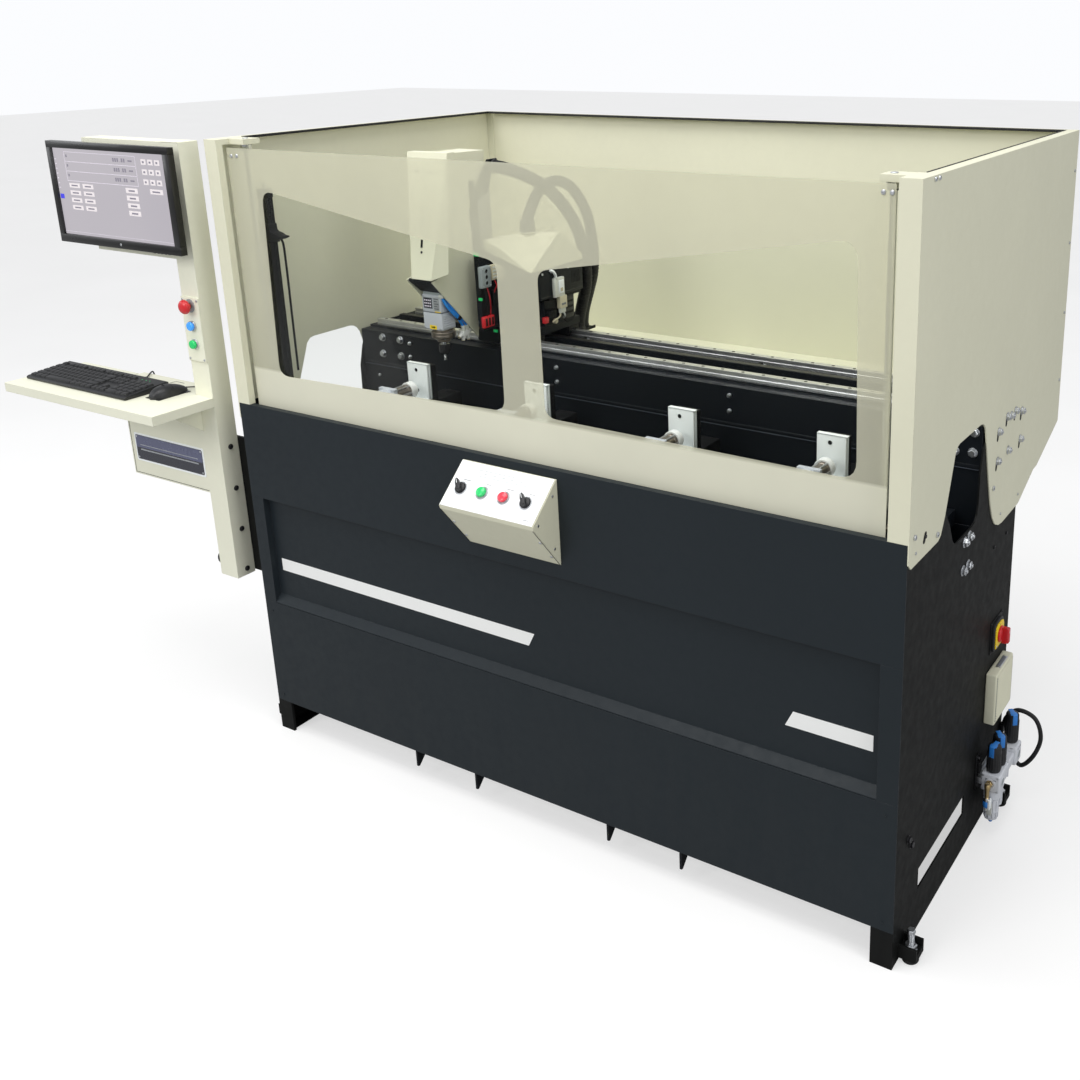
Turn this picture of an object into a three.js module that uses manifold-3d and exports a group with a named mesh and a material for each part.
// CNC milling centre for aluminium bars and extrusions, millimetres, +Z up.
// X runs along the base from the operator console (left) to the air unit (right),
// Y from front to back. Pieces are laid out from the base's front left bottom corner; at the end
// the whole is moved so that the origin is the middle of the bounding box's underside.
import * as THREE from 'three';
import { mergeVertices } from 'three/addons/utils/BufferGeometryUtils.js';
import { ConvexGeometry } from 'three/addons/geometries/ConvexGeometry.js';
import Module from 'manifold-3d';

const wasm = await Module();
wasm.setup();

// ---------------------------------------------------------------- driving dimensions
const BASE_W = 2000;
const BASE_H = 1043;
const BASE_D = 770;
const TOP_H = 1773;        // top of the enclosure
const ENC_D = 1128;        // depth of the enclosure
const SHEET = 3;           // panel thickness
const PLATE = 4;           // side plate thickness
const GAP = 0.3;           // clearance between neighbouring pieces
const LEG_W = 54;
const SKIRT_Z = 98;        // lower edge of the front panels
const SEAM_LOW = 430;      // seams between the three front panels
const SEAM_HIGH = 762;
const SEAM_GAP = 0.4;
const BEAM = { front: 470, back: 760, top: 1160 };   // bed beam
const RAIL = { width: 20, height: 20, frontY: 525, rearY: 690 };
const ROD = { inset: 80, y: 66 };                    // guide rods of the guard
const FRAME_TOP = SKIRT_Z + 46;
const COLUMN = { x: [-188, -113], depth: 62, z: [471, 1760] };   // console column

// ---------------------------------------------------------------- spans
// A span is [start, end] along one axis.
const around = (centre, half) => [centre - half, centre + half];
const grow = ([start, end], by) => [start - by, end + by];
// X span that stops the same distance short of both ends of the base
const insetX = (inset) => [inset, BASE_W - inset];
const INNER_X = insetX(PLATE + GAP);

// ---------------------------------------------------------------- solid helpers
const toSolid = (source) => {
  const bare = source.clone();
  bare.deleteAttribute('normal');
  if (bare.attributes.uv) bare.deleteAttribute('uv');
  const merged = mergeVertices(bare, 1e-3);
  return new wasm.Manifold(new wasm.Mesh({
    numProp: 3,
    vertProperties: new Float32Array(merged.attributes.position.array),
    triVerts: new Uint32Array(merged.index.array),
  }));
};
const toGeometry = (solid) => {
  const mesh = solid.getMesh();
  const geometry = new THREE.BufferGeometry();
  const positions = new Float32Array(mesh.vertProperties);
  geometry.setAttribute('position', new THREE.BufferAttribute(positions, 3));
  geometry.setIndex(new THREE.BufferAttribute(new Uint32Array(mesh.triVerts), 1));
  geometry.computeVertexNormals();
  return geometry;
};
const join = (...solids) => solids.reduce((a, b) => a.add(b));
const cut = (body, ...tools) => tools.reduce((a, b) => a.subtract(b), body);

const box = ([x0, x1], [y0, y1], [z0, z1]) => {
  const geometry = new THREE.BoxGeometry(x1 - x0, y1 - y0, z1 - z0);
  geometry.translate((x0 + x1) / 2, (y0 + y1) / 2, (z0 + z1) / 2);
  return toSolid(geometry);
};

const AXIS_X = new THREE.Vector3(1, 0, 0);
const AXIS_Y = new THREE.Vector3(0, 1, 0);
const AXIS_Z = new THREE.Vector3(0, 0, 1);
// outline extruded over a span; axes are those of its two columns, then of the span
const prism = (outline, [start, end], ...axes) => {
  const shape = new THREE.Shape(outline.map((point) => new THREE.Vector2(...point)));
  const geometry = new THREE.ExtrudeGeometry(shape, { depth: end - start, bevelEnabled: false });
  geometry.translate(0, 0, start);
  geometry.applyMatrix4(new THREE.Matrix4().makeBasis(...axes));
  return toSolid(geometry);
};
// outline given in (y, z), run along X
const prismX = (outline, span) => prism(outline, span, AXIS_Y, AXIS_Z, AXIS_X);
// outline given in (x, z), run along Y
const prismY = (outline, span) =>
  prism(outline.map(([x, z]) => [z, x]), span, AXIS_Z, AXIS_X, AXIS_Y);
// outline given in (x, y), run along Z
const prismZ = (outline, span) => prism(outline, span, AXIS_X, AXIS_Y, AXIS_Z);

// turns a geometry's own axis to a direction, then moves it
const place = (geometry, axis, direction, position) => {
  geometry.applyQuaternion(new THREE.Quaternion().setFromUnitVectors(axis, direction));
  geometry.translate(...position);
  return toSolid(geometry);
};
// round bar between two points, tapered when the end radius differs
const bar = (start, end, radius, segments = 20, endRadius = radius) => {
  const run = new THREE.Vector3(...end).sub(new THREE.Vector3(...start));
  const geometry = new THREE.CylinderGeometry(endRadius, radius, run.length(), segments);
  return place(geometry, AXIS_Y, run.normalize(), start.map((value, i) => (value + end[i]) / 2));
};
const barY = (x, [y0, y1], z, ...rest) => bar([x, y0, z], [x, y1, z], ...rest);
const barZ = (x, y, [z0, z1], ...rest) => bar([x, y, z0], [x, y, z1], ...rest);
// turned shape; profile is (radius, height along the direction), starting and ending on the axis
const turned = (position, direction, profile, segments = 24) => place(
  new THREE.LatheGeometry(profile.map((point) => new THREE.Vector2(...point)), segments),
  AXIS_Y, new THREE.Vector3(...direction).normalize(), position);
// round cord along a smooth curve through the points
const tube = (points, radius, steps) => {
  const path = points.map((point) => new THREE.Vector3(...point));
  const ring = new THREE.Shape();
  ring.absarc(0, 0, radius, 0, Math.PI * 2, false);
  return toSolid(new THREE.ExtrudeGeometry(ring, {
    extrudePath: new THREE.CatmullRomCurve3(path, false, 'centripetal'),
    steps,
    bevelEnabled: false,
    curveSegments: 4,
  }));
};
const hull = (points) =>
  toSolid(new ConvexGeometry(points.map((point) => new THREE.Vector3(...point))));
// polygon whose corners become quadratic curves, each set back as an arc of its radius would be
const roundedPolygon = (corners, radii, steps = 5) => corners.flatMap((corner, i) => {
  const count = corners.length;
  const tip = new THREE.Vector2(...corner);
  const toward = (index) =>
    new THREE.Vector2(...corners[index % count]).sub(tip).normalize();
  const before = toward(i + count - 1);
  const after = toward(i + 1);
  const halfAngle = Math.acos(THREE.MathUtils.clamp(before.dot(after), -1, 1)) / 2;
  const setback = radii[i] / Math.tan(halfAngle);
  const start = tip.clone().addScaledVector(before, setback);
  const end = tip.clone().addScaledVector(after, setback);
  return Array.from({ length: steps + 1 }, (_, k) => {
    const t = k / steps;
    const point = start.clone().multiplyScalar((1 - t) ** 2)
      .addScaledVector(tip, 2 * t * (1 - t))
      .addScaledVector(end, t * t);
    return [point.x, point.y];
  });
});
// helpers for a left-hand part given in X from the base's left face, mirrored for the right
const sideFrame = (isRight) => {
  const atX = (x) => (isRight ? BASE_W - x : x);
  const spanX = ([x0, x1]) => (isRight ? [atX(x1), atX(x0)] : [x0, x1]);
  return {
    atX,
    sideBox: (x, y, z) => box(spanX(x), y, z),
    sidePrism: (outline, x) => prismX(outline, spanX(x)),
  };
};
const SIDES = [['left', false], ['right', true]];

// ---------------------------------------------------------------- finishes
const finish = (settings) => () => new THREE.MeshStandardMaterial(settings);
const anthracite = finish({ color: 0x32383e, roughness: 0.55, metalness: 0.1 });
const nearBlack = finish({ color: 0x17191d, roughness: 0.5, metalness: 0.1 });
const cream = finish({ color: 0xdedcc4, roughness: 0.5, metalness: 0 });
const steel = finish({ color: 0xb9bcc2, roughness: 0.28, metalness: 1 });
const lightGrey = finish({ color: 0xb9bec8, roughness: 0.45, metalness: 0.2 });
const blackPlastic = finish({ color: 0x111317, roughness: 0.5, metalness: 0 });
const red = finish({ color: 0xc41f26, roughness: 0.35, metalness: 0 });
const green = finish({ color: 0x12a04a, roughness: 0.35, metalness: 0 });
const blue = finish({ color: 0x2f86d8, roughness: 0.3, metalness: 0 });
const rubber = finish({ color: 0x15161a, roughness: 0.7, metalness: 0 });
const bronze = finish({ color: 0x8a7763, roughness: 0.35, metalness: 0.8 });
const clear = finish({
  color: 0xf4f6f2, roughness: 0.08, metalness: 0, transparent: true, opacity: 0.25 });
const film = finish({
  color: 0xdedcc4, roughness: 0.35, metalness: 0, transparent: true, opacity: 0.8 });

const machine = new THREE.Group();
const section = (x = 0) => {
  const group = new THREE.Group();
  group.position.x = x;
  machine.add(group);
  return group;
};
const put = (group, name, solid, material) => {
  const mesh = new THREE.Mesh(toGeometry(solid), material());
  mesh.name = name;
  group.add(mesh);
};

// ================================================================ base
const base = section();

// side plate (y, z): straight front, vee notch for loading long bars, rounded ear by the beam
const SIDE_OUTLINE = [
  [PLATE, 0], [BASE_D, 0], [BASE_D, BEAM.top],
  [568, BEAM.top], [540, 1158], [513, 1151], [492, 1137], [478, 1118], [BEAM.front, 1100],
  [455, 1040], [453, 965], [446, 942], [434, 931], [410, 927], [306, 927], [290, 932],
  [278, 944], [252, 995], [226, 1026], [214, 1040], [PLATE, 1040],
];
const sidePlate = (isRight) => {
  const { atX, sideBox, sidePrism } = sideFrame(isRight);
  const anchorFoot = (y) => {
    const spanX = [-46, PLATE];
    const studX = atX(-24);
    return join(
      sideBox(spanX, around(y, 24), [14, 30]),
      sideBox(spanX, [y - 24, y - 18], [14, 48]),
      sideBox(spanX, [y + 18, y + 24], [14, 48]),
      barZ(studX, y, [0, 78], 7, 12),                      // stud
      barZ(studX, y, [0, 14.5], 17, 16, 15),               // pad
      barZ(studX, y, [30, 41], 12, 6),                     // nut
    );
  };
  return join(
    cut(sidePrism(SIDE_OUTLINE, [0, PLATE]), sideBox([-10, 10], [150, 467], [112, 168])),
    sideBox([0.5, 40], [PLATE - 0.5, 2 * PLATE], [20, 1036]),   // flange behind the front panels
    sideBox([0, LEG_W], [0, 2 * PLATE], [0, SKIRT_Z - 1]),      // leg flush with the front panels
    sideBox([1, 46], [3, BASE_D - 1], [0, PLATE]),              // foot flange
    sideBox([1.5, 43], [BASE_D - 8, BASE_D - 4], [2, 1035]),    // rear flange
    anchorFoot(54),
    anchorFoot(BASE_D - 60),
  );
};
const consoleBracket = () => {
  const front = COLUMN.depth + GAP;
  const spanZ = [478, 905];
  return join(
    box([-186, 3], [front, COLUMN.depth + 8], spanZ),
    box([-8, 3], [front, 240], spanZ),                     // welded stiffener
  );
};
put(base, 'base_side_left', join(sidePlate(false), consoleBracket()), anthracite);
put(base, 'base_side_right', sidePlate(true), anthracite);

const frontPanelUpper = () => {
  const bottom = SEAM_HIGH + SEAM_GAP;
  return join(
    box(insetX(0), [0, SHEET], [bottom, BASE_H]),
    box(insetX(0), [0, 17], [BASE_H - SHEET, BASE_H]),
    box(insetX(LEG_W + 1), [0, 14], [bottom, bottom + SHEET]),
  );
};
put(base, 'front_panel_upper', frontPanelUpper(), anthracite);

// one folded sheet: flush ends, short returns, a recessed field and a sloped ledge at its bottom
const frontPanelMiddle = () => {
  const left = 47;
  const right = 1950;
  const depth = 19;
  const sheetPlan = [                                      // (x, y)
    [0, 0], [left, 0], [left + 3, depth], [right - 3, depth], [right, 0], [BASE_W, 0],
    [BASE_W, SHEET], [right + 2.6, SHEET], [right - 0.4, depth + SHEET],
    [left + 0.4, depth + SHEET], [left - 2.6, SHEET], [0, SHEET],
  ];
  const ledge = [                                          // (y, z)
    [0.3, 431.5], [2.5, 431.5], [20.5, 450], [20.5, 455.5], [18, 455], [0.3, 434],
  ];
  return join(
    prismZ(sheetPlan, [SEAM_LOW + SEAM_GAP, SEAM_HIGH]),
    prismX(ledge, grow([left, right], 0.8)),
  );
};
put(base, 'front_panel_middle', frontPanelMiddle(), anthracite);

put(base, 'front_panel_lower', join(
  box(insetX(0), [0, SHEET], [SKIRT_Z, SEAM_LOW]),
  box(insetX(LEG_W + 1), [0, 30], [SKIRT_Z, SKIRT_Z + SHEET]),
), anthracite);

// two cross rails between the side plates, four runners and the fork tabs below the skirt
const floorFrame = () => {
  const bottom = SKIRT_Z + 6;
  const tabTop = SKIRT_Z - 0.5;
  const forkTab = [                                        // (y, z)
    [10, tabTop], [10, 40], [16, 38], [70, 92], [110, 104], [110, 120], [60, 120],
    [33, 110], [33, tabTop],
  ];
  return join(
    ...[36, 700].map((y) => box(INNER_X, [y, y + 40], [bottom, FRAME_TOP])),
    box([52, 98], [74, 130], [SKIRT_Z + 8, FRAME_TOP]),    // seat of the lift cylinder
    ...[555, 774, 1215, 1435].map((x) => join(
      box(around(x, 3), [40, 735], [bottom, SKIRT_Z + 40]),
      prismX(forkTab, around(x, 3)),
    )),
  );
};
put(base, 'floor_frame', floorFrame(), nearBlack);

put(base, 'rear_panel', cut(
  box(INNER_X, [BASE_D - 3.6, BASE_D - 0.6], [130, 1030]),
  ...[0, 1, 2, 3, 4, 5].map((i) =>
    box([860 + i * 50, 880 + i * 50], [BASE_D - 20, BASE_D + 5], [260, 420])),
), anthracite);

// deep box girder, with a fold line across its front face and a stepped top
const bedBeam = () => {
  const bottom = 900;
  const deck = BEAM.top - 6;
  const front = BEAM.front + 2;
  const back = BEAM.back - 0.5;
  const body = join(
    box(INNER_X, [front, BEAM.front + 12], [bottom, 1053]),
    box(INNER_X, [BEAM.front, BEAM.front + 12], [1056, deck]),
    box(INNER_X, [front, BEAM.front + 12], [1050, 1060]),
    box(INNER_X, [BEAM.front + 4, back], [BEAM.top - 16, deck]),
    box(INNER_X, [508, 545], [BEAM.top - 10, BEAM.top]),   // seat of the front rail
    box(INNER_X, [672, 708], [BEAM.top - 10, BEAM.top]),   // seat of the rear rail
    box(INNER_X, [BEAM.back - 12, back], [bottom, deck]),
    box(INNER_X, [front, back], [bottom, bottom + 10]),
    box(insetX(40), [600, 618], [BEAM.top - 7, BEAM.top + 16]),   // rack of the X drive
  );
  const openings = [300, 700, 1100, 1500].map((x) => box([x, x + 200], [560, 660], [880, 930]));
  return cut(body, ...openings);
};
put(base, 'bed_beam', bedBeam(), nearBlack);

// rail with a groove along each flank
const rail = (y) => {
  const [front, back] = around(y, RAIL.width / 2);
  const grooveZ = [BEAM.top + 7, BEAM.top + 14];
  return cut(
    box(insetX(30), [front, back], [BEAM.top + GAP, BEAM.top + RAIL.height]),
    box(insetX(0), [front - 1, front + 2.5], grooveZ),
    box(insetX(0), [back - 2.5, back + 1], grooveZ),
  );
};
put(base, 'x_rail_front', rail(RAIL.frontY), steel);
put(base, 'x_rail_rear', rail(RAIL.rearY), steel);

// shallow sloping tray on the floor of the working space
const chipTray = () => {
  const front = 92;
  const back = 464;
  const spanX = insetX(PLATE + 3);
  return cut(
    join(
      prismX([[front, 700], [back, 780], [back, 783], [front, 703]], spanX),
      box(spanX, [front, front + 3], [700, 880]),
      box(spanX, [back - 3, back], [782, 905]),
      ...SIDES.map(([, isRight]) =>
        sideFrame(isRight).sideBox([PLATE + 3, PLATE + 6], [front, back], [701, 720])),
      box(insetX(60), [400, 462], [900, 940]),             // carrier bar of the clamps
    ),
    box([50, 100], [86, 132], [690, 890]),                 // room for the lift cylinder
  );
};
put(base, 'chip_tray', chipTray(), nearBlack);

// ================================================================ enclosure
const enclosure = section();

// side wall (y, z): loading notch in the lower edge, slanted lower edge at the back
const WALL_OUTLINE = [
  [0, 1043.6], [0, 1000], [14, 986], [172, 986], [188, 994], [209, 1029], [250, 1132],
  [259, 1156], [272, 1169], [287, 1172], [429, 1172], [446, 1168], [458, 1160], [468, 1146],
  [480, 1106], [512, 1006], [536, 938], [559, 894], [584, 868], [612, 856], [640, 852],
  [772, 854], [785, 857], [905, 905], [935, 906], [ENC_D, 976], [ENC_D, TOP_H], [0, TOP_H],
];
const sideWall = (isRight) => {
  const { sideBox, sidePrism } = sideFrame(isRight);
  const inner = -GAP;
  const outer = inner - SHEET;
  const postZ = [BASE_H + 0.6, TOP_H];
  const bracketBottom = TOP_H - 14.6;
  return join(
    sidePrism(WALL_OUTLINE, [outer, inner]),
    sideBox([outer, 44], [0, SHEET], postZ),               // front post, folded from the wall
    sideBox([41, 44], [0, 20], postZ),
    sideBox([outer, 25], [0, ENC_D], [TOP_H - SHEET, TOP_H]),          // top return
    sideBox([outer, 25], [ENC_D - SHEET, ENC_D], [990, TOP_H]),        // rear return
    sideBox([outer, 44], [0, 96], [bracketBottom, TOP_H]),             // guide rod bracket
    sideBox([43, 100], [42, 96], [bracketBottom, TOP_H - 0.4]),
  );
};
for (const [side, isRight] of SIDES)
  put(enclosure, `enclosure_wall_${side}`, sideWall(isRight), cream);

put(enclosure, 'enclosure_wall_rear', join(
  box(insetX(0), [ENC_D + GAP, ENC_D + GAP + SHEET], [1062, TOP_H]),
  box(insetX(30), [ENC_D - 24, ENC_D + 2], [TOP_H - SHEET, TOP_H]),
  box(insetX(30), [BASE_D + 6, ENC_D + 2], [1062, 1065]),
  box(insetX(30), [BASE_D + 6, BASE_D + 9], [1030, 1064]),
), cream);

const LIFT_FOOT_Z = FRAME_TOP + 0.6;
for (const [side, isRight] of SIDES) {
  const rod = barZ(sideFrame(isRight).atX(ROD.inset), ROD.y, [LIFT_FOOT_Z, TOP_H - 15.4], 8);
  put(enclosure, `guard_guide_rod_${side}`, rod, steel);
}
put(enclosure, 'guard_lift_cylinder', join(
  box([61, 89], [98, 124], [151, 1560]),
  box([57, 93], [94, 128], [1545, 1575]),
  box([57, 93], [94, 128], [LIFT_FOOT_Z, 170]),
), blackPlastic);

// ================================================================ lifting guard
const guard = section();
const GUARD = { x: [49, 1941], y: 28, sheet: 5, bottom: 1012, topLeft: 1751, topRight: 1758 };
const GUARD_OUTLINE = [                                    // (x, z)
  [GUARD.x[0], GUARD.bottom], [GUARD.x[1], GUARD.bottom],
  [GUARD.x[1], GUARD.topRight], [GUARD.x[0], GUARD.topLeft],
];
put(guard, 'guard_sheet', prismY(GUARD_OUTLINE, [GUARD.y, GUARD.y + GUARD.sheet]), clear);

// window corners (x, z) and the radius of each corner
const WINDOWS = [
  { corners: [[152, 1137], [950, 1156], [953, 1524], [168, 1646]], radii: [34, 34, 34, 34] },
  { corners: [[1073, 1160], [1874, 1152], [1865, 1648], [1072, 1513]], radii: [34, 40, 40, 34] },
];
put(guard, 'guard_film', cut(
  prismY(GUARD_OUTLINE, [GUARD.y - 1.3, GUARD.y - GAP]),
  ...WINDOWS.map(({ corners, radii }) =>
    prismY(roundedPolygon(corners, radii), around(GUARD.y, 10))),
), film);

// bar behind the lower edge, with a bored lug for each guide rod
const guardCarrier = () => {
  const front = GUARD.y + GUARD.sheet + GAP;
  const frames = SIDES.map(([, isRight]) => sideFrame(isRight));
  return cut(
    join(
      box([GUARD.x[0] + 2, GUARD.x[1] - 2], [front, GUARD.y + 17], [1014, 1036]),
      ...frames.map(({ sideBox }) => sideBox([52, 104], [front, 88], [1000, 1036])),
    ),
    ...frames.map(({ atX }) => barZ(atX(ROD.inset), ROD.y, [980, 1060], 9.2, 28)),
  );
};
put(guard, 'guard_carrier', guardCarrier(), nearBlack);

// ================================================================ milling head
const head = section();
const SPINDLE = { x: 467, y: 345 };
const PINION = { x: 558.5, y: 574.4 };

const bearingBlock = (x, y) => cut(
  box(around(x, 38), around(y, 26), [BEAM.top + 5, BEAM.top + 36]),
  box(around(x, 60), around(y, RAIL.width / 2 + 0.6), [BEAM.top, BEAM.top + RAIL.height + 0.8]),
);
// four bearing blocks, saddle plate and upright
const xCarriage = () => cut(
  join(
    ...[RAIL.frontY, RAIL.rearY].flatMap((y) => [495, 622].map((x) => bearingBlock(x, y))),
    box([455, 662], [497, 722], [BEAM.top + 34, BEAM.top + 56]),
    box([563, 660], [560, 700], [BEAM.top + 50, 1300]),
    box([563, 600], [540, 700], [1290, 1410]),
  ),
  box([530, 587], [545.5, 602], [BEAM.top + 14, BEAM.top + 57]),   // pocket of the pinion
);
put(head, 'x_carriage', xCarriage(), nearBlack);
put(head, 'x_carriage_cover', hull([
  [526, 470, 1444], [526, 470, 1472], [590, 470, 1449], [690, 470, 1391],
  [690, 711, 1392], [690, 711, 1408], [690, 625, 1456], [690, 606, 1487],
  [617, 545, 1489], [526, 545, 1474], [526, 711, 1444], [526, 700, 1450], [600, 690, 1468],
]), cream);
put(head, 'x_servo_motor', join(
  box([604, 690], [506, 709], [1304, 1388]),
  box([612, 682], [500, 507], [1312, 1380]),
), nearBlack);

const pinionStep = (low, high, ...rest) =>
  barZ(PINION.x, PINION.y, [BEAM.top + low, BEAM.top + high], ...rest);
put(head, 'x_drive_pinion', join(
  pinionStep(15, 15.6, 8),
  pinionStep(15.6, 45, 25, 28),
  pinionStep(45, 54, 10),
), steel);

// slides across the X carriage and guides the head plate up and down
const ySaddle = () => {
  const hook = [                                           // (y, z)
    [450, 1430], [520, 1430], [520, 1610], [532, 1650], [560, 1650], [560, 1692],
    [520, 1692], [450, 1600],
  ];
  return join(
    box([513, 523.4], [446, 690], [1222, 1436]),
    prismX(hook, [513, 517]),
    cut(
      box([516, 562.4], [404, 560], [1226, 1430]),
      box([510, 548], [390, 446], [1220, 1440]),
      box([530, 548], [390, 530], [1260, 1400]),
    ),
  );
};
put(head, 'y_saddle', ySaddle(), nearBlack);

// carries the spindle motor and runs on the saddle
put(head, 'z_head_plate', join(
  box([508, 512.6], [446, 462], [1240, 1640]),
  box([470, 512], [456.5, 462], [1460, 1560]),
  box([440, 500], [430, 462], [1460, 1560]),
  prismX([[276, 1382], [319, 1345], [380, 1345], [380, 1352], [322, 1352], [279, 1388]],
    [418, 501]),
  box([418, 501], [374, 380], [1290, 1600]),
  box([440, 480], [379, 440], [1500, 1580]),
), nearBlack);

// cover sheet on either side of the head (y, z), and the X span of each
const HEAD_SHEET = [
  [274, 1384], [445, 1194], [449, 1240], [452, 1330], [450, 1450], [438, 1590],
  [506, 1642], [521, 1718], [373, 1722], [364, 1722], [340, 1404],
];
const HEAD_SHEETS_X = [[503, 507], [412, 416]];
const HEAD_BACK_X = [413, 506];
put(head, 'z_side_cover', join(
  ...HEAD_SHEETS_X.map((span) => prismX(HEAD_SHEET, span)),
  box(HEAD_BACK_X, [373, 520], [1715, 1718]),
  prismX([[436, 1588.5], [442, 1587], [511, 1639], [505, 1644]], HEAD_BACK_X),
  prismX([[504, 1642], [508, 1641], [522, 1717], [518, 1717]], HEAD_BACK_X),
), cream);

// tapered front shell, hollowed and cleared of the side sheets
const headCover = () => {
  const clearance = 0.4;
  const outer = [
    [395, 335, 1726], [540, 335, 1728], [395, 362, 1726], [540, 362, 1728],
    [435, 271, 1389.5], [507, 271, 1389.5], [435, 305, 1389.5], [540, 305, 1405],
  ];
  const hollow = [
    [402, 339, 1722], [530, 339, 1722], [402, 370, 1722], [530, 370, 1722],
    [440, 276, 1388], [503, 276, 1388], [440, 312, 1388], [530, 312, 1404],
  ];
  const shifted = HEAD_SHEET.map(([y, z]) => [y - clearance, z]);
  return cut(hull(outer), hull(hollow),
    ...HEAD_SHEETS_X.map((span) => prismX(shifted, grow(span, clearance))));
};
put(head, 'z_head_cover', headCover(), cream);

put(head, 'spindle_motor', join(
  box([420, 490], [318, 373.6], [1236, 1344.6]),
  ...[0, 1, 2, 3].map((i) => box([490, 492], [322, 370], [1290 + i * 12, 1294 + i * 12])),
), lightGrey);

const spindleNose = () => {
  const profile = [
    [0, 0], [27, 0], [27, 4], [34, 6], [34, 22], [30, 26], [19, 27], [19, 36], [0, 36],
  ];
  return cut(
    turned([SPINDLE.x, SPINDLE.y, 1235.6], [0, 0, -1], profile, 28)
      .intersect(box([400, 520], [300, 373.4], [1190, 1236])),   // flat at the back
    barZ(SPINDLE.x, SPINDLE.y, [1190, 1215], 12.5),              // bore of the tool
  );
};
put(head, 'spindle_nose', spindleNose(), bronze);
put(head, 'cutting_tool', turned([SPINDLE.x, SPINDLE.y, 1214], [0, 0, -1], [
  [0, 0], [12, 0], [12, 16], [9, 17], [9, 21], [15, 22], [15, 46], [12, 50], [4, 51],
  [4, 70], [0, 70],
], 20), steel);

put(head, 'air_hose_set', join(
  tube([[496, 322, 1330], [500, 340, 1296], [499, 372, 1262], [498, 396, 1236]], 4, 14),
  tube([[496, 334, 1322], [499, 352, 1290], [499, 386, 1256], [498, 408, 1228]], 4, 14),
  box([492, 500], [316, 340], [1318, 1334]),
  box([484, 502], [386, 418], [1196, 1238]),
  bar([493, 400, 1200], [493, 376, 1192], 7, 10),
), blue);

// centre lines of the cable conduits, from the head down behind the bed beam
const OUTER_CONDUIT = [
  [525, 548.4, 1669.5], [550, 556, 1665], [594, 572, 1650], [631, 596, 1627],
  [658, 624, 1595], [674, 658, 1551], [679, 700, 1493], [672, 738, 1429],
  [662, 764, 1359], [647, 782, 1300], [622, 794, 1239], [604, 800, 1190], [596, 803, 1150],
];
const INNER_CONDUIT = [
  [615, 560, 1514], [614, 566, 1530], [606, 590, 1550], [593, 640, 1587],
  [595, 685, 1610], [612, 715, 1615], [631, 740, 1600], [646, 765, 1564],
  [658, 785, 1514], [658, 803, 1455], [652, 820, 1387], [638, 832, 1323],
  [616, 838, 1264], [592, 842, 1200], [584, 843, 1150],
];
put(head, 'cable_conduit_outer', tube(OUTER_CONDUIT, 18, 22), rubber);
put(head, 'cable_conduit_inner', join(
  tube(INNER_CONDUIT, 16, 26),
  barZ(615, 560, [1490.5, 1522], 21, 12),                  // end fitting
), rubber);

// ================================================================ clamps
const CLAMP_X = [397, 823, 1281, 1692];
const JAW = { width: 76, bottom: 1032, top: 1136, y: 300 };
const RAM_Z = 1066;

const clampStation = (x) => {
  const armX = around(x, 30);
  const screwHole = (z) => barY(x - 4, [JAW.y - 5, JAW.y + 6], z, 6, 12);
  return cut(
    join(
      box(around(x, 36), [396, 466], [941, 956]),          // foot on the carrier bar
      box(around(x, 36), [391, 399.6], [896, 956]),
      box(armX, [62, 440], [956, 976]),                    // arm to the front
      box(armX, [340, 440], [970, 1020]),
      box(around(x, 32), [JAW.y + 12, JAW.y + 42], [970, JAW.top - 6]),
      box(around(x, JAW.width / 2), [JAW.y, JAW.y + 12.7], [JAW.bottom, JAW.top]),   // fixed jaw
      box(around(x, JAW.width / 2), [236, JAW.y + 1], [JAW.bottom - 6, JAW.bottom + 4]),
      box(around(x, 20), [236, JAW.y + 13], [970, JAW.bottom - 5]),
      box(armX, [66, 160], [970, 1046]),
      barY(x, [66, 190], RAM_Z, 30, 24),                   // cylinder barrel
    ),
    barY(x, [90, 195], RAM_Z, 13.2, 24),
    screwHole(JAW.bottom + 24),
    screwHole(JAW.top - 20),
  );
};
const clampRam = (x) => join(
  barY(x, [168, 262], RAM_Z, 12, 24),
  barY(x, [244, 258], RAM_Z, 20, 24),
  barY(x, [256, 276], RAM_Z, 24, 28),
);
CLAMP_X.forEach((x, i) => {
  const clamp = section();
  put(clamp, `clamp_${i + 1}_station`, clampStation(x), nearBlack);
  put(clamp, `clamp_${i + 1}_ram`, clampRam(x), steel);
});

// ================================================================ operator console
const desk = section();
const BUTTON_X = -150;
const BUTTON_Z = { estop: 1308, blue: 1250, green: 1197 };
const SHELF_Z = [1012, 1039];
const DESK_Z = SHELF_Z[1] + GAP;       // underside of the things on the shelf

const consoleHousing = () => {
  const [columnLeft, columnRight] = COLUMN.x;
  return cut(
    join(
      box(COLUMN.x, [0, COLUMN.depth], COLUMN.z),
      box([-542, columnLeft + 1], [0, COLUMN.depth], [1437, COLUMN.z[1]]),
      box([-540, columnLeft + 1], [0, 80], [734, 1038]),
      box([columnLeft, columnRight], [-4, 1], [1144, 1332]),   // button plate
    ),
    ...Object.values(BUTTON_Z).map((z) => barY(BUTTON_X, [-10, 15], z, 8)),
  );
};
put(desk, 'console_housing', consoleHousing(), cream);

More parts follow.
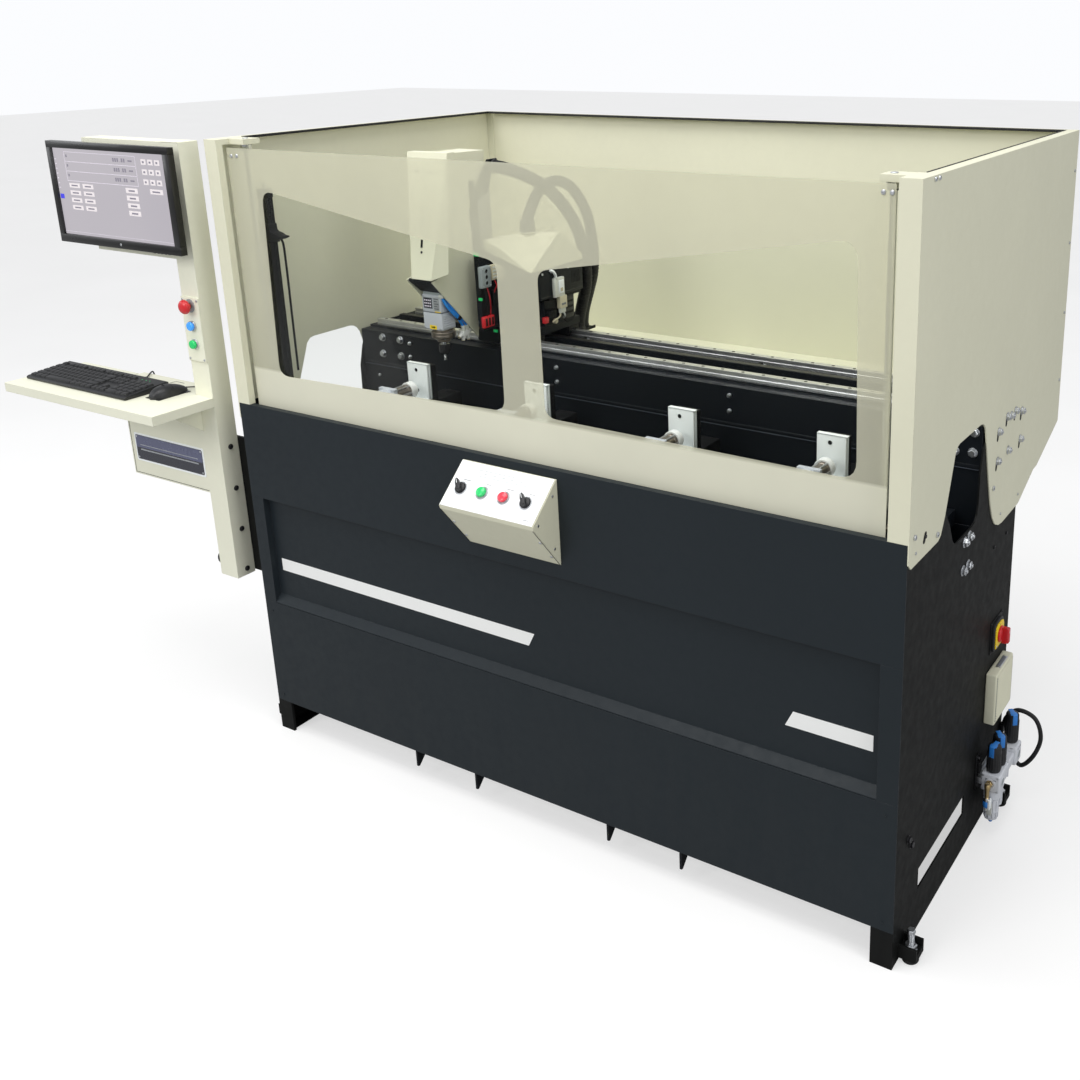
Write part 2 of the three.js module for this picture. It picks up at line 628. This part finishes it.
const SHELF_GUSSET = [[-GAP, 1013], [-120, 1013], [-GAP, 930]];   // (y, z)
put(desk, 'console_shelf', join(
  box([-815, COLUMN.x[1]], [-197, -GAP], SHELF_Z),
  box([-815, -541], [-1, 62], SHELF_Z),
  prismX(SHELF_GUSSET, [-180, -176]),
  prismX(SHELF_GUSSET, [-520, -516]),
), cream);
put(desk, 'monitor', join(
  box([-636, -90], [-52, -30], [1461, 1752]),
  box([-600, -126], [-31, -12], [1490, 1722]),
  box([-440, -300], [-13, -GAP], [1560, 1660]),
), blackPlastic);
put(desk, 'keyboard',
  prismX([[-140, DESK_Z], [-140, 1050], [5, 1066], [5, DESK_Z]], [-795, -315]), blackPlastic);

const MOUSE_FOOTPRINT = [                                  // (x, y)
  [-287, -80], [-232, -80], [-292, -40], [-227, -40], [-287, 12], [-232, 12],
  [-270, -100], [-249, -100], [-272, 24], [-247, 24],
];
const MOUSE_BACK = [                                       // (x, y, z)
  [-280, -70, 1066], [-239, -70, 1066], [-283, -35, 1074], [-236, -35, 1074],
  [-278, 2, 1062], [-241, 2, 1062],
];
put(desk, 'mouse', hull([
  ...MOUSE_FOOTPRINT.map(([x, y]) => [x, y, DESK_Z]),
  ...MOUSE_BACK,
]), blackPlastic);

const buttonPlate = section(BUTTON_X);
put(buttonPlate, 'console_estop', turned([0, -8.5, BUTTON_Z.estop], [0, -1, 0], [
  [0, 0], [6, 0], [6, 8], [13, 8], [20, 11], [20, 19], [17, 24], [10, 27], [0, 27],
], 28), red);
const pushButton = (z) => turned([0, -1, z], [0, -1, 0],
  [[0, 0], [7, 0], [7, 11], [13, 11], [13, 15], [11, 18], [0, 19]]);
put(buttonPlate, 'console_button_blue', pushButton(BUTTON_Z.blue), blue);
put(buttonPlate, 'console_button_green', pushButton(BUTTON_Z.green), green);

// ================================================================ front control box
const panel = section();
const CONTROL_BOX_X = [829, 1119];
// sloping fascia: its bottom and top edges, and its outward normal
const FASCIA = { bottom: { y: -98, z: 934 }, top: { y: -3, z: 1021 } };
const FASCIA_RUN = FASCIA.top.y - FASCIA.bottom.y;
const FASCIA_RISE = FASCIA.top.z - FASCIA.bottom.z;
const NORMAL = new THREE.Vector3(0, -FASCIA_RISE, FASCIA_RUN).normalize();
// (y, z) a fraction of the way up the fascia, lifted off it by an offset
const onFascia = (fraction, offset) => [
  FASCIA.bottom.y + FASCIA_RUN * fraction + NORMAL.y * offset,
  FASCIA.bottom.z + FASCIA_RISE * fraction + NORMAL.z * offset,
];
put(panel, 'control_box', join(
  prismX([
    [-GAP, 799], [-95, 924], [FASCIA.bottom.y, FASCIA.bottom.z],
    [FASCIA.top.y, FASCIA.top.z], [-GAP, FASCIA.top.z],
  ], CONTROL_BOX_X),
  prismX([onFascia(0.01, -1), onFascia(0.99, -1), onFascia(0.99, 1.6), onFascia(0.01, 1.6)],
    grow(CONTROL_BOX_X, -2)),                              // raised plate
), cream);

const CONTROL_HEIGHT = 0.42;           // fraction of the way up the fascia
const selector = (x) => {
  const grip = { width: 7, length: 26, height: 14, lift: 13 };
  const seat = [x, ...onFascia(CONTROL_HEIGHT, 2.4)];
  return join(
    turned(seat, NORMAL, [[0, 0], [14, 0], [14, 7], [11, 8], [0, 8]]),
    place(new THREE.BoxGeometry(grip.width, grip.length, grip.height), AXIS_Z, NORMAL,
      [x, ...onFascia(CONTROL_HEIGHT, 2.4 + grip.lift)]),
  );
};
const fasciaButton = (x) => turned([x, ...onFascia(CONTROL_HEIGHT, 5.6)], NORMAL,
  [[0, 0], [13, 0], [13, 5], [11, 8], [0, 8.6]]);
[
  ['selector_left', selector, blackPlastic],
  ['button_start', fasciaButton, green],
  ['button_stop', fasciaButton, red],
  ['selector_right', selector, blackPlastic],
].forEach(([name, build, material], i) => put(panel, name, build(869 + i * 67), material));

// ================================================================ right-hand side equipment
const service = section();
put(service, 'vent_box', cut(
  box([BASE_W + GAP, BASE_W + 32], [594, 735], [305, 450]),
  ...[0, 1, 2, 3, 4, 5, 6].map((i) =>
    box([BASE_W + 28, BASE_W + 40], [608, 721], [318 + i * 18, 326 + i * 18])),
), cream);

const SWITCH = { y: 657, z: 538 };
put(service, 'main_switch_knob', join(
  turned([BASE_W + 13, SWITCH.y, SWITCH.z], [1, 0, 0],
    [[0, 0], [22, 0], [22, 5], [18, 8], [0, 8]]),
  box([BASE_W + 19, BASE_W + 38], around(SWITCH.y, 9), around(SWITCH.z, 21)),
), red);

// air unit: four bodies in a row along Y, all on one X
const AIR_X = BASE_W + 40;
const REGULATOR_Y = 580;
const BOWL_Y = 622;
const knob = (y, z, height) => {
  const stem = 14;
  const top = stem + height;
  return turned([AIR_X, y, z], [0, 0, 1], [
    [0, 0], [7.6, 0], [7.6, stem], [17, stem], [19, stem + 5], [19, top - 6], [15, top], [0, top],
  ], 20);
};
const airUnit = () => cut(
  join(
    box([BASE_W + GAP, BASE_W + 18], [560, 746], [148, 166]),   // mounting bar
    box(around(AIR_X, 25), [556, 604], [134, 186]),
    box(around(AIR_X, 22), [603, 640], [140, 182]),
    box(around(AIR_X, 20), [639, 701], [142, 176]),
    box(around(AIR_X, 25), [700, 748], [134, 188]),
    barZ(AIR_X, REGULATOR_Y, [44, 136], 19, 16, 22),
    barZ(AIR_X, REGULATOR_Y, [33, 45], 5, 10, 8),
    barZ(AIR_X, BOWL_Y, [60, 142], 17, 16),
    barY(AIR_X, [560, 538], 160, 9, 10),
    knob(BOWL_Y, 170, 86),
    knob(730, 176, 86),
  ),
  barZ(AIR_X, REGULATOR_Y, [173, 230], 8.4),               // socket of the regulator knob
);
put(service, 'frl_unit', airUnit(), lightGrey);
put(service, 'frl_regulator_knob', knob(REGULATOR_Y, 173.5, 76), blackPlastic);

const HOSE_Y = 762;
// loop of the air hose: (x from the air unit's axis, y, z)
const HOSE_LOOP = [
  [0, 760, 152], [1, HOSE_Y, 116], [22, HOSE_Y, 100], [52, HOSE_Y, 134], [71, HOSE_Y, 202],
  [51, HOSE_Y, 255], [6, HOSE_Y, 266], [-24, HOSE_Y, 236], [-33, HOSE_Y, 206],
];
put(service, 'air_hose_loop', join(
  tube(HOSE_LOOP.map(([x, y, z]) => [AIR_X + x, y, z]), 6, 30),
  barY(AIR_X, [748.3, HOSE_Y], 152, 9, 12),
), rubber);

// ---------------------------------------------------------------- origin: middle of the underside
machine.updateMatrixWorld(true);
const bounds = new THREE.Box3().setFromObject(machine);
const middle = bounds.getCenter(new THREE.Vector3());
machine.position.set(-middle.x, -middle.y, -bounds.min.z);
const model = new THREE.Group();
model.add(machine);
export default model;
